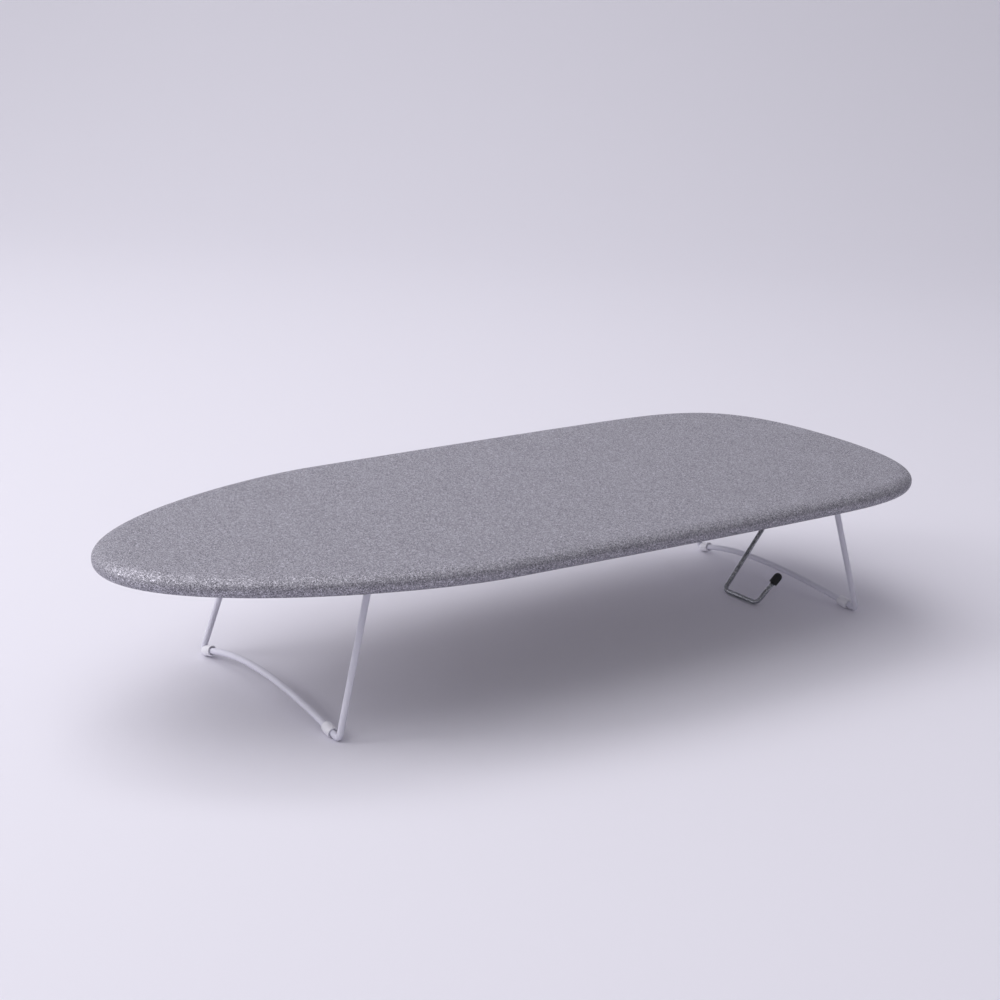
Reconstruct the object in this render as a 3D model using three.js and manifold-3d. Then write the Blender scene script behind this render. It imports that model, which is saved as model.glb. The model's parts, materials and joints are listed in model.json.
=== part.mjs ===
// A tabletop ironing board: a padded steel mesh top on two folding wire legs, with a hanging hook.
// Millimetres, +Z up. The nose points along -X and the floor is z = 0, below the middle of the top.
import * as THREE from "three";
import { mergeVertices } from "three/addons/utils/BufferGeometryUtils.js";
import Module from "manifold-3d";

const wasm = await Module();
wasm.setup();

// ---- Driving dimensions ----

const halfLength = 375;
const halfWidth = 152.2; // at its widest, towards the tail
const topHeight = 131.3;
const slabThickness = 14.5;
const gap = 0.3; // between pieces that touch

const fabric = 1; // cover thickness
const edgeRounding = 6; // of the covered edge, above and below
const hemWidth = 19; // how far the cover turns in under the board

const pad = { thickness: 3.6, inset: 3.2, rounding: 1.7 };
const deck = { thickness: 1, inset: 3.6 };
const rim = { inset: 3.4, width: 8, height: 6.7, rounding: 2.2 };
const elastic = { width: 3, height: 1, rounding: 0.3 };
const rail = { width: 24, height: 6.5, sheet: 1.2 };

const rod = { radius: 2.6, sides: 12 };
const pivotHeight = 109;
const leg = {
  footHeight: 2.53, // rod centre where its corner would be if it were sharp
  topHalfWidth: 90,
  footHalfWidth: 101.6,
  stubEnd: 69.4, // the pivot stubs turn inwards and reach to here
  archRise: 12.3,
  archSkew: 15, // the arch's highest point lies off the middle by about this
  topBend: 5,
  footBend: 3.2,
};
const sides = { near: -1, far: 1 };
const legs = {
  nose: { outward: -1, pivotX: -210, footX: -239.3 },
  tail: { outward: 1, pivotX: 275.7, footX: 306.9 },
};

const sleeve = { radius: 4.3, bore: 3.1, length: 10.5, near: -87.4, far: 92.4 }; // where each stands along Y
const bush = { radius: 4.3, flangeRadius: 6, flange: 1.5, body: 2.2, lip: 1.2 };
const bracket = {
  earY: 78,
  earSheet: 1.6,
  earDrop: 7.2, // below the pivot
  baseSheet: 1.5,
  baseWidth: 22,
  baseInner: 51,
  baseOuter: 95,
  stopSheet: 1.4,
  stopWidth: 6,
  stopDrop: 4.5,
};
const retainer = { radius: 5, length: 7.2 };
const rivet = { radius: 1.7, hole: 2, headRadius: 3.2, headHeight: 1.4, spreadHeight: 1.2 };

const hook = {
  wire: 2.1, // radius
  sides: 10,
  pivotX: 333.6,
  pivotHeight: 115.7,
  footX: 239.5, // the lowest bend, just clear of the floor
  footHeight: 2.4,
  legY: -2.7,
  returnY: -44.2,
  tipRise: 30, // how far the short end comes back up
  tipFlare: 5,
  pinEnd: 19, // where the hinge pin turns down again, which keeps it in its clip
  pinTail: 10,
  bend: 5,
};
const hookCap = { radius: 3.9, length: 11, bore: 8 };
const clip = { width: 10, middleY: 8, sheet: 1.2, reach: 11.4, rivetX: 7.2 };

// ---- Finishes ----

const finish = (color, roughness, metalness = 0) =>
  new THREE.MeshStandardMaterial({ color, roughness, metalness });

const coverCloth = finish(0x9a9aa3, 0.9);
const padFelt = finish(0xd9d6cf, 0.95);
const meshSteel = finish(0xc9cbd0, 0.45, 0.9);
const whiteCoat = finish(0xe4e4ea, 0.35);
const elasticCloth = finish(0x8a8a92, 0.85);
const clearPlastic = finish(0xe6ebec, 0.3);
const whiteNylon = finish(0xf0f0ee, 0.4);
const zinc = finish(0xb9bec4, 0.25, 1);
const blackVinyl = finish(0x0b0b0c, 0.45);
const rivetSteel = finish(0xb0b3b8, 0.4, 0.9);

// ---- Board outline ----

// One side of the board, from the middle of the nose to the middle of the tail end.
const noseShoulder = new THREE.Vector2(-114.4, 145.9);
const widest = new THREE.Vector2(203.8, halfWidth);
const sideCurves = [
  {
    steps: 14,
    curve: new THREE.CubicBezierCurve(
      new THREE.Vector2(-halfLength, 0),
      new THREE.Vector2(-halfLength, 86.1),
      new THREE.Vector2(-201.3, 143.4),
      noseShoulder,
    ),
  },
  {
    steps: 4,
    curve: new THREE.CubicBezierCurve(
      noseShoulder,
      new THREE.Vector2(-10, 148.9),
      new THREE.Vector2(80.4, halfWidth),
      widest,
    ),
  },
  {
    steps: 12,
    curve: new THREE.CubicBezierCurve(
      widest,
      new THREE.Vector2(304.4, halfWidth),
      new THREE.Vector2(halfLength, 145.8),
      new THREE.Vector2(halfLength, 0),
    ),
  },
];

// The whole outline, moved in from the edge by `inset`, as a closed list of points.
function outline(inset) {
  const side = [];
  for (const { steps, curve } of sideCurves) {
    for (let i = 0; i < steps; i++) {
      const along = curve.getTangent(i / steps);
      side.push(curve.getPoint(i / steps).add(new THREE.Vector2(along.y, -along.x).multiplyScalar(inset)));
    }
  }
  side.push(new THREE.Vector2(halfLength - inset, 0));
  const otherSide = side.slice(1, -1).reverse();
  return [...side, ...otherSide.map((p) => new THREE.Vector2(p.x, -p.y))];
}

// A slab of the outline's shape between two heights, with its edges rounded.
function slab(inset, low, high, rounding = 0) {
  return new THREE.ExtrudeGeometry(new THREE.Shape(outline(inset + rounding)), {
    depth: high - low - 2 * rounding,
    bevelEnabled: rounding > 0,
    bevelThickness: rounding,
    bevelSize: rounding,
    bevelSegments: Math.ceil(rounding / 2),
  }).translate(0, 0, low + rounding);
}

// ---- Joining and cutting ----

function toSolid(geometry) {
  const bare = geometry.clone();
  bare.deleteAttribute("normal");
  bare.deleteAttribute("uv");
  const merged = mergeVertices(bare, 1e-4);
  return new wasm.Manifold(
    new wasm.Mesh({
      numProp: 3,
      vertProperties: merged.attributes.position.array,
      triVerts: new Uint32Array(merged.index.array),
    }),
  );
}

function toGeometry(solid) {
  const mesh = solid.getMesh();
  return new THREE.BufferGeometry()
    .setAttribute("position", new THREE.BufferAttribute(mesh.vertProperties, 3))
    .setIndex(new THREE.BufferAttribute(mesh.triVerts, 1));
}

const join = (...pieces) => toGeometry(pieces.map(toSolid).reduce((a, b) => a.add(b)));
const cut = (piece, ...tools) => toGeometry(tools.map(toSolid).reduce((a, b) => a.subtract(b), toSolid(piece)));
const common = (a, b) => toGeometry(toSolid(a).intersect(toSolid(b)));

// A band of a slab, `width` wide, along the outline.
const band = (inset, width, low, high, rounding) =>
  cut(slab(inset, low, high, rounding), slab(inset + width, low - 1, high + 1));

// ---- Shapes ----

const box = (x, y, z, at) => new THREE.BoxGeometry(x, y, z).translate(...at);

// A turned piece whose axis is Z, from [radius, height] pairs.
const turned = (profile, segments = 14) =>
  new THREE.LatheGeometry(
    profile.map(([radius, height]) => new THREE.Vector2(radius, height)),
    segments,
  ).rotateX(Math.PI / 2);

const upright = (radius, low, high, segments = 12) =>
  new THREE.CylinderGeometry(radius, radius, high - low, segments)
    .rotateX(Math.PI / 2)
    .translate(0, 0, (low + high) / 2);

// A centre line made of curves end to end, each with its own number of steps.
class CentreLine extends THREE.Curve {
  constructor(pieces) {
    super();
    this.pieces = pieces;
    this.steps = pieces.reduce((sum, piece) => sum + piece.steps, 0);
  }

  getPoint(t) {
    let step = t * this.steps;
    for (const piece of this.pieces.slice(0, -1)) {
      if (step <= piece.steps) return piece.curve.getPoint(step / piece.steps);
      step -= piece.steps;
    }
    const last = this.pieces.at(-1);
    return last.curve.getPoint(Math.min(step / last.steps, 1));
  }

  getUtoTmapping(u) {
    return u;
  }
}

// The centre line through corner points. Each corner is rounded to its radius, and a corner of
// infinite radius is the control point of one parabola from the bend before it to the bend after it.
function bentLine(points, radii, archSteps = 20) {
  const bendSteps = 5;
  const bends = radii.map((radius, i) => {
    const corner = points[i + 1];
    if (radius === Infinity) return { corner };
    const before = points[i].clone().sub(corner).normalize();
    const after = points[i + 2].clone().sub(corner).normalize();
    const turn = Math.PI - before.angleTo(after);
    const reach = radius * Math.tan(turn / 2);
    const handle = reach - radius * (4 / 3) * Math.tan(turn / 4);
    const along = (direction, distance) => corner.clone().addScaledVector(direction, distance);
    const start = along(before, reach);
    const end = along(after, reach);
    const curve = new THREE.CubicBezierCurve3(start, along(before, handle), along(after, handle), end);
    return { start, end, curve };
  });
  const pieces = [];
  let from = points[0];
  const straightTo = (to) => {
    if (from.distanceTo(to) > 0) pieces.push({ steps: 1, curve: new THREE.LineCurve3(from, to) });
  };
  bends.forEach(({ corner, start, end, curve }, i) => {
    if (corner) {
      const to = bends[i + 1].start;
      pieces.push({ steps: archSteps, curve: new THREE.QuadraticBezierCurve3(from, corner, to) });
      from = to;
    } else {
      straightTo(start);
      pieces.push({ steps: bendSteps, curve });
      from = end;
    }
  });
  straightTo(points.at(-1));
  return new CentreLine(pieces);
}

// A round bar along a centre line.
function bar(line, radius, sides) {
  const section = new THREE.Shape(
    Array.from({ length: sides }, (_, i) => {
      const angle = (2 * Math.PI * i) / sides;
      return new THREE.Vector2(radius * Math.cos(angle), radius * Math.sin(angle));
    }),
  );
  return new THREE.ExtrudeGeometry(section, { steps: line.steps, extrudePath: line });
}

// ---- The group and its naming ----

const board = new THREE.Group();

function add(name, geometry, material, parent = board) {
  const mesh = new THREE.Mesh(geometry, material);
  mesh.name = name;
  parent.add(mesh);
  return mesh;
}

// ---- Soft top ----

const slabBottom = topHeight - slabThickness;
const padTop = topHeight - fabric - gap;
const deckTop = padTop - pad.thickness - gap;
const rimTop = deckTop - deck.thickness - gap;
const rimBottom = rimTop - rim.height;

function coverGeometry() {
  const outside = slab(0, slabBottom, topHeight, edgeRounding);
  const inside = slab(fabric, slabBottom + fabric, topHeight - fabric, edgeRounding - fabric);
  const mouth = slab(hemWidth, slabBottom - 1, slabBottom + 2 * fabric);
  return cut(outside, inside, mouth);
}

add("cover", coverGeometry(), coverCloth);
add("pad", slab(pad.inset, padTop - pad.thickness, padTop, pad.rounding), padFelt);

// ---- Steel top ----

add("deck", slab(deck.inset, deckTop - deck.thickness, deckTop), meshSteel);
add("rim", band(rim.inset, rim.width, rimBottom, rimTop, rim.rounding), whiteCoat);
add(
  "hem_elastic",
  band(hemWidth + gap, elastic.width, slabBottom, slabBottom + elastic.height, elastic.rounding),
  elasticCloth,
);

// A cross channel, open upwards, with its ends cut to the rim.
const railBottom = rimTop - rail.height;
const webTop = railBottom + rail.sheet;

function railGeometry(x, rivetPlaces) {
  const { width, height, sheet } = rail;
  const section = new THREE.Shape(
    [
      [0, 0],
      [width, 0],
      [width, height],
      [width - sheet, height],
      [width - sheet, sheet],
      [sheet, sheet],
      [sheet, height],
      [0, height],
    ].map(([u, v]) => new THREE.Vector2(u - width / 2, v)),
  );
  const channel = new THREE.ExtrudeGeometry(section, { depth: 2 * halfWidth, bevelEnabled: false })
    .rotateX(Math.PI / 2)
    .translate(x, halfWidth, railBottom);
  const space = slab(rim.inset + rim.width + gap, railBottom - 1, rimTop + 1);
  const holes = rivetPlaces.map(([px, py]) =>
    upright(rivet.hole, railBottom - 1, webTop + 1).translate(px, py, 0),
  );
  return cut(common(channel, space), ...holes);
}

// ---- Rivets ----

// A rivet through a plate under a rail's web: domed head below, spread end above.
function rivetGeometry(plateBottom) {
  const under = plateBottom - gap;
  const over = webTop + gap;
  return turned(
    [
      [0, under - rivet.headHeight],
      [rivet.headRadius * 0.62, under - 0.8 * rivet.headHeight],
      [rivet.headRadius, under],
      [rivet.radius, under],
      [rivet.radius, over],
      [rivet.headRadius * 0.9, over],
      [rivet.headRadius * 0.75, over + rivet.spreadHeight],
      [0, over + rivet.spreadHeight],
    ],
    10,
  );
}

// ---- Leg brackets ----

const baseTop = railBottom - gap;
const baseBottom = baseTop - bracket.baseSheet;
const bracketRivets = [56, 65]; // distances from the middle of the board

// The bracket for an end of a leg that leans towards +X, about a pivot at x = 0, on the +Y side.
// Its tongue hangs beside the rod's bend and backs the open leg.
function bracketGeometry(lean) {
  const { earY, earSheet, earDrop, baseWidth, baseInner, baseOuter, baseSheet } = bracket;
  const { stopSheet, stopWidth, stopDrop } = bracket;
  const half = baseWidth / 2;
  const root = baseBottom + baseSheet / 2; // the ear and the tongue start inside the base plate
  const foot = pivotHeight - earDrop;
  const ear = new THREE.Shape()
    .moveTo(-half, root)
    .lineTo(half, root)
    .lineTo(half - 2, pivotHeight)
    .quadraticCurveTo(half - 2, foot, 0, foot)
    .quadraticCurveTo(2 - half, foot, 2 - half, pivotHeight);
  const earPlate = new THREE.ExtrudeGeometry(ear, { depth: earSheet, bevelEnabled: false, curveSegments: 5 })
    .rotateX(Math.PI / 2)
    .translate(0, earY + earSheet / 2, 0);
  const baseMiddle = [0, (baseOuter + baseInner) / 2, (baseTop + baseBottom) / 2];
  const base = box(baseWidth, baseOuter - baseInner, baseSheet, baseMiddle);
  const stopTop = root - pivotHeight - 0.7;
  const stopFace = rod.radius + gap;
  const stop = box(stopSheet, stopWidth, stopTop + stopDrop, [
    stopFace + stopSheet / 2,
    leg.topHalfWidth,
    (stopTop - stopDrop) / 2,
  ])
    .rotateY(-lean)
    .translate(0, 0, pivotHeight);
  const pivotHole = upright(bush.radius + gap, -2, 2, 14)
    .rotateX(Math.PI / 2)
    .translate(0, earY, pivotHeight);
  const rivetHoles = bracketRivets.map((y) =>
    upright(rivet.hole, baseBottom - 1, baseTop + 1).translate(0, y, 0),
  );
  return cut(join(earPlate, base, stop), pivotHole, ...rivetHoles);
}

// A flanged nylon bush on the Y axis, snapped through the bracket's ear from outboard.
function bushGeometry() {
  const bore = rod.radius + gap;
  const inner = -bush.flange - bush.body / 2;
  return turned([
    [bore, inner],
    [bush.flangeRadius, inner],
    [bush.flangeRadius, -bush.body / 2],
    [bush.radius, -bush.body / 2],
    [bush.radius, bush.body / 2],
    [bush.flangeRadius - 0.6, bush.body / 2],
    [bush.flangeRadius - 0.9, bush.body / 2 + bush.lip],
    [bore, bush.body / 2 + bush.lip],
    [bore, inner],
  ]).rotateX(Math.PI / 2);
}

// A domed push-on cap on the Y axis, from its mouth at y = 0 to its closed end inboard.
function retainerGeometry() {
  const { radius, length } = retainer;
  const bore = rod.radius + gap;
  return turned([
    [0, length - 1],
    [bore, length - 1],
    [bore, 0],
    [radius, 0],
    [radius, length - 2],
    [radius * 0.7, length - 0.4],
    [0, length],
  ]).rotateX(Math.PI / 2);
}

// ---- Legs ----

// How far along a parabola it reaches a given y, from 0 to 1.
function whereAt({ v0, v1, v2 }, y) {
  const a = v0.y - 2 * v1.y + v2.y;
  const b = 2 * (v1.y - v0.y);
  const c = v0.y - y;
  return (-2 * c) / (b + Math.sqrt(b * b - 4 * a * c));
}

// A plastic tube with eased ends, threaded on the crossbar.
function sleeveGeometry() {
  const { radius, bore, length } = sleeve;
  const ease = 0.5;
  const half = length / 2;
  return turned([
    [bore, -half],
    [radius - ease, -half],
    [radius, ease - half],
    [radius, half - ease],
    [radius - ease, half],
    [bore, half],
    [bore, -half],
  ]);
}

function addLegEnd(name, { outward, pivotX, footX }) {
  const run = Math.abs(footX - pivotX);
  const drop = pivotHeight - leg.footHeight;
  const lean = Math.atan2(run, drop);
  const reach = Math.hypot(run, drop); // from the pivot down the leg's own plane

  // Everything below is made leaning towards +X about a pivot at x = 0, then placed.
  const end = new THREE.Group();
  end.position.x = pivotX;
  end.scale.x = outward;
  board.add(end);

  const place = (y, down) =>
    new THREE.Vector3(down * Math.sin(lean), y, pivotHeight - down * Math.cos(lean));
  const halfLine = (side) => [
    place(side * leg.stubEnd, 0),
    place(side * leg.topHalfWidth, 0),
    place(side * leg.footHalfWidth, reach),
  ];
  const peak = place(2 * leg.archSkew, reach - 2 * leg.archRise);
  const line = bentLine(
    [...halfLine(-1), peak, ...halfLine(1).reverse()],
    [leg.topBend, leg.footBend, Infinity, leg.footBend, leg.topBend],
  );
  add(`${name}_leg`, bar(line, rod.radius, rod.sides), whiteCoat, end);

  const arch = line.pieces.find(({ curve }) => curve.isQuadraticBezierCurve3).curve;
  const rivetPlaces = [];
  for (const [sideName, side] of Object.entries(sides)) {
    const at = `${name}_${sideName}`;
    const t = whereAt(arch, sleeve[sideName]);
    const threaded = add(`${at}_sleeve`, sleeveGeometry(), clearPlastic, end);
    threaded.position.copy(arch.getPoint(t));
    threaded.quaternion.setFromUnitVectors(new THREE.Vector3(0, 0, 1), arch.getTangent(t));

    const mirrored = new THREE.Group();
    mirrored.scale.y = side;
    end.add(mirrored);
    add(`${at}_bracket`, bracketGeometry(lean), meshSteel, mirrored);
    add(`${at}_bush`, bushGeometry(), whiteNylon, mirrored).position.set(0, bracket.earY, pivotHeight);
    const capMouth = bracket.earY - bush.body / 2 - bush.lip - gap;
    add(`${at}_retainer`, retainerGeometry(), whiteNylon, mirrored).position.set(0, capMouth, pivotHeight);
    bracketRivets.forEach((y, i) => {
      add(`${at}_rivet_${i + 1}`, rivetGeometry(baseBottom), rivetSteel, mirrored).position.y = y;
      rivetPlaces.push([pivotX, side * y]);
    });
  }
  add(`${name}_rail`, railGeometry(pivotX, rivetPlaces), whiteCoat);
}

for (const [name, places] of Object.entries(legs)) addLegEnd(name, places);

// ---- Hanging hook ----

// A strap over the hook's hinge pin, flat against the rail on both sides of it.
function clipGeometry() {
  const { width, middleY, sheet, reach, rivetX } = clip;
  const inner = hook.wire + gap;
  const outer = inner + sheet;
  const pinDrop = hook.pivotHeight - baseTop;
  const strap = new THREE.Shape()
    .moveTo(-reach, 0)
    .lineTo(-inner, 0)
    .absarc(0, pinDrop, inner, Math.PI, 2 * Math.PI)
    .lineTo(inner, 0)
    .lineTo(reach, 0)
    .lineTo(reach, -sheet)
    .lineTo(outer, -sheet)
    .absarc(0, pinDrop, outer, 0, Math.PI, true)
    .lineTo(-outer, -sheet)
    .lineTo(-reach, -sheet);
  const bent = new THREE.ExtrudeGeometry(strap, { depth: width, bevelEnabled: false, curveSegments: 8 })
    .rotateX(Math.PI / 2)
    .translate(hook.pivotX, middleY + width / 2, baseTop);
  const holes = [-rivetX, rivetX].map((x) =>
    upright(rivet.hole, baseTop - sheet - 1, baseTop + 1).translate(hook.pivotX + x, middleY, 0),
  );
  return cut(bent, ...holes);
}

// The vinyl cap, open at its mouth at z = 0 and domed at the other end.
function hookCapGeometry() {
  const { radius, length, bore } = hookCap;
  const hole = hook.wire + gap;
  return turned([
    [0, bore],
    [hole, bore],
    [hole, 0],
    [radius - 0.4, 0],
    [radius, 0.4],
    [radius, length - 3.9],
    [radius * 0.87, length - 1.9],
    [radius * 0.5, length - 0.5],
    [0, length],
  ]);
}

function addHook() {
  const pivot = new THREE.Vector3(hook.pivotX, 0, hook.pivotHeight);
  const foot = new THREE.Vector3(hook.footX, 0, hook.footHeight);
  const reach = foot.distanceTo(pivot);
  const down = foot.clone().sub(pivot).normalize();
  const place = (y, distance) => pivot.clone().addScaledVector(down, distance).setY(y);
  const tip = place(hook.returnY - hook.tipFlare, reach - hook.tipRise);
  const corners = [
    place(hook.pinEnd, hook.pinTail),
    place(hook.pinEnd, 0),
    place(hook.legY, 0),
    place(hook.legY, reach),
    place(hook.returnY, reach),
    tip,
  ];
  const line = bentLine(corners, Array(4).fill(hook.bend));
  add("storage_hook", bar(line, hook.wire, hook.sides), zinc);

  const cap = add("hook_cap", hookCapGeometry(), blackVinyl);
  const upTip = tip.clone().sub(corners.at(-2)).normalize();
  cap.position.copy(tip).addScaledVector(upTip, gap - hookCap.bore);
  cap.quaternion.setFromUnitVectors(new THREE.Vector3(0, 0, 1), upTip);

  add("hook_clip", clipGeometry(), zinc);
  const rivetPlaces = [-clip.rivetX, clip.rivetX].map((x) => [hook.pivotX + x, clip.middleY]);
  rivetPlaces.forEach(([x, y], i) => {
    add(`hook_rivet_${i + 1}`, rivetGeometry(baseTop - clip.sheet), rivetSteel).position.set(x, y, 0);
  });
  add("hook_rail", railGeometry(hook.pivotX, rivetPlaces), whiteCoat);
}

addHook();

export default board;
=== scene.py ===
import json
import math

import bmesh
import bpy
from mathutils import Matrix, Vector, noise

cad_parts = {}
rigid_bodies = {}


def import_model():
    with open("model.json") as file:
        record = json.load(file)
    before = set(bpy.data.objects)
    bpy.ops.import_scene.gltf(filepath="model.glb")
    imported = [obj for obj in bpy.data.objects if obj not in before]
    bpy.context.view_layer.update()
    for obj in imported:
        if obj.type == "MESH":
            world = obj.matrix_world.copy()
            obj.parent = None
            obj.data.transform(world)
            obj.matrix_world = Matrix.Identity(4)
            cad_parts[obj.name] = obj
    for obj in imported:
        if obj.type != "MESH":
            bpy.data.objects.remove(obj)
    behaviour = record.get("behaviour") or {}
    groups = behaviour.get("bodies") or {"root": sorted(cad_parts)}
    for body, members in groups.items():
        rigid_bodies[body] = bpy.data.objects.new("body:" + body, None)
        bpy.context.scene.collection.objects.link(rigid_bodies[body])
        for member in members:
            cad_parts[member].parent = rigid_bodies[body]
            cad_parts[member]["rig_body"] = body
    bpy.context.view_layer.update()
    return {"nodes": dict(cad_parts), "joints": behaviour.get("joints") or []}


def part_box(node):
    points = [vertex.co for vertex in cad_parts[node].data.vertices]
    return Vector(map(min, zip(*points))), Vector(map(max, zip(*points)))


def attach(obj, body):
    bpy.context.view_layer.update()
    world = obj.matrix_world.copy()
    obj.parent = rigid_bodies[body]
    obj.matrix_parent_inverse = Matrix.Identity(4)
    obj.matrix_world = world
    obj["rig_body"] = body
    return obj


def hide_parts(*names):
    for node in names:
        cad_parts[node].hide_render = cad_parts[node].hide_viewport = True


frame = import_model()
print("frame loaded:", len(frame["nodes"]), "CAD nodes")

mm = 0.001
joints = {joint["name"]: joint for joint in frame["joints"]}


# the camera, the floor and the lights

cameraView = {
    "place": (-0.9107, -1.133, 0.5517),
    "yaw": 38.069,  # degrees from +Y towards +X
    "pitch": 16.522,  # downwards
    "roll": 2.741,
    "lens": 66.598,
    "sensor": 36,
}


def headings(yaw, pitch, roll):
    level = math.cos(pitch)
    forward = Vector((math.sin(yaw) * level, math.cos(yaw) * level, -math.sin(pitch)))
    right = Vector((math.cos(yaw), -math.sin(yaw), 0))
    up = right.cross(forward)
    side = right * math.cos(roll) + up * math.sin(roll)
    top = up * math.cos(roll) - right * math.sin(roll)
    return side, top, -forward


def makeCamera():
    data = bpy.data.cameras.new("camera")
    data.lens = cameraView["lens"]
    data.sensor_width = cameraView["sensor"]
    camera = bpy.data.objects.new("camera", data)
    bpy.context.scene.collection.objects.link(camera)
    angles = [math.radians(cameraView[name]) for name in ("yaw", "pitch", "roll")]
    turned = Matrix(headings(*angles)).transposed()
    camera.matrix_world = Matrix.Translation(cameraView["place"]) @ turned.to_4x4()
    bpy.context.scene.camera = camera


floorShape = {
    "width": 14,
    "front": -5,
    "back": 2.0,  # where the floor starts to sweep up into the backdrop
    "sweep": 3.0,
    "height": 6,
    "steps": 16,  # in the sweep
    "color": (0.79, 0.775, 0.85, 1),
    "roughness": 0.55,
}


def makeFloor():
    shape = floorShape
    profile = [(shape["front"], 0), (0, 0), (shape["back"], 0)]
    sweep = shape["sweep"]
    for step in range(1, shape["steps"] + 1):
        angle = math.radians(90) * step / shape["steps"]
        profile.append((shape["back"] + sweep * math.sin(angle), sweep * (1 - math.cos(angle))))
    profile.append((profile[-1][0], shape["height"]))
    half = shape["width"] / 2
    points = [Vector((x, y, z)) for y, z in profile for x in (-half, half)]
    faces = [(2 * i, 2 * i + 1, 2 * i + 3, 2 * i + 2) for i in range(len(profile) - 1)]
    mesh = bpy.data.meshes.new("floor")
    mesh.from_pydata(points, [], faces)
    mesh.shade_smooth()
    floor = bpy.data.objects.new("floor", mesh)
    bpy.context.scene.collection.objects.link(floor)
    floor.rotation_euler.z = -math.radians(cameraView["yaw"])
    paper = bpy.data.materials.new("backdropPaper")
    paper.use_nodes = True
    shader = paper.node_tree.nodes["Principled BSDF"]
    shader.inputs["Base Color"].default_value = shape["color"]
    shader.inputs["Roughness"].default_value = shape["roughness"]
    shader.inputs["Specular IOR Level"].default_value = 0.2
    mesh.materials.append(paper)


lamps = {
    "overhead": {"place": (-0.7, 0.25, 2.2), "aim": (-0.1, 0.1, 0.0), "size": (2.6, 2.6), "power": 19},
    "leftKey": {"place": (-2.0, 0.9, 1.4), "aim": (0.0, 0.0, 0.1), "size": (0.9, 0.9), "power": 17},
    "backdropWash": {"place": (0.1, 1.8, 2.8), "aim": (0.9, 2.6, 0.3), "size": (2.6, 1.4), "power": 24},
}
sky = {
    "color": (0.96, 0.95, 1.0, 1),
    "brightest": (-0.5, 0.4, 0.77),
    "dark": -0.67,  # how far along the brightest direction it turns black
    "high": 0.76,
}


def makeLights():
    for name, lamp in lamps.items():
        data = bpy.data.lights.new(name, "AREA")
        data.shape = "RECTANGLE"
        data.size, data.size_y = lamp["size"]
        data.energy = lamp["power"]
        data.color = (1, 0.99, 1)
        light = bpy.data.objects.new(name, data)
        bpy.context.scene.collection.objects.link(light)
        light.location = lamp["place"]
        ray = Vector(lamp["aim"]) - Vector(lamp["place"])
        light.rotation_euler = ray.to_track_quat("-Z", "Y").to_euler()
    world = bpy.data.worlds.new("studio")
    bpy.context.scene.world = world
    world.use_nodes = True
    background = world.node_tree.nodes["Background"]
    background.inputs["Color"].default_value = sky["color"]
    tree = world.node_tree
    direction = tree.nodes.new("ShaderNodeTexCoord")
    facing = tree.nodes.new("ShaderNodeVectorMath")
    facing.operation = "DOT_PRODUCT"
    facing.inputs[1].default_value = sky["brightest"]
    strength = tree.nodes.new("ShaderNodeMapRange")
    strength.inputs["From Min"].default_value = sky["dark"]
    strength.inputs["To Min"].default_value = 0
    strength.inputs["To Max"].default_value = sky["high"]
    tree.links.new(direction.outputs["Generated"], facing.inputs[0])
    tree.links.new(facing.outputs["Value"], strength.inputs["Value"])
    tree.links.new(strength.outputs[0], background.inputs["Strength"])


makeCamera()
makeFloor()
makeLights()
bpy.context.scene.view_settings.view_transform = "Standard"
print("camera, floor and lights made")


# materials

class Wire:  # an output socket that takes part in arithmetic
    def __init__(self, finish, socket):
        self.finish = finish
        self.socket = socket

    def __add__(self, other):
        return self.finish.maths("ADD", self, other)

    def __radd__(self, other):
        return self.finish.maths("ADD", other, self)

    def __sub__(self, other):
        return self.finish.maths("SUBTRACT", self, other)

    def __rsub__(self, other):
        return self.finish.maths("SUBTRACT", other, self)

    def __mul__(self, other):
        return self.finish.maths("MULTIPLY", self, other)

    def __truediv__(self, other):
        return self.finish.maths("DIVIDE", self, other)

    def __gt__(self, other):
        return self.finish.maths("GREATER_THAN", self, other)


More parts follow.
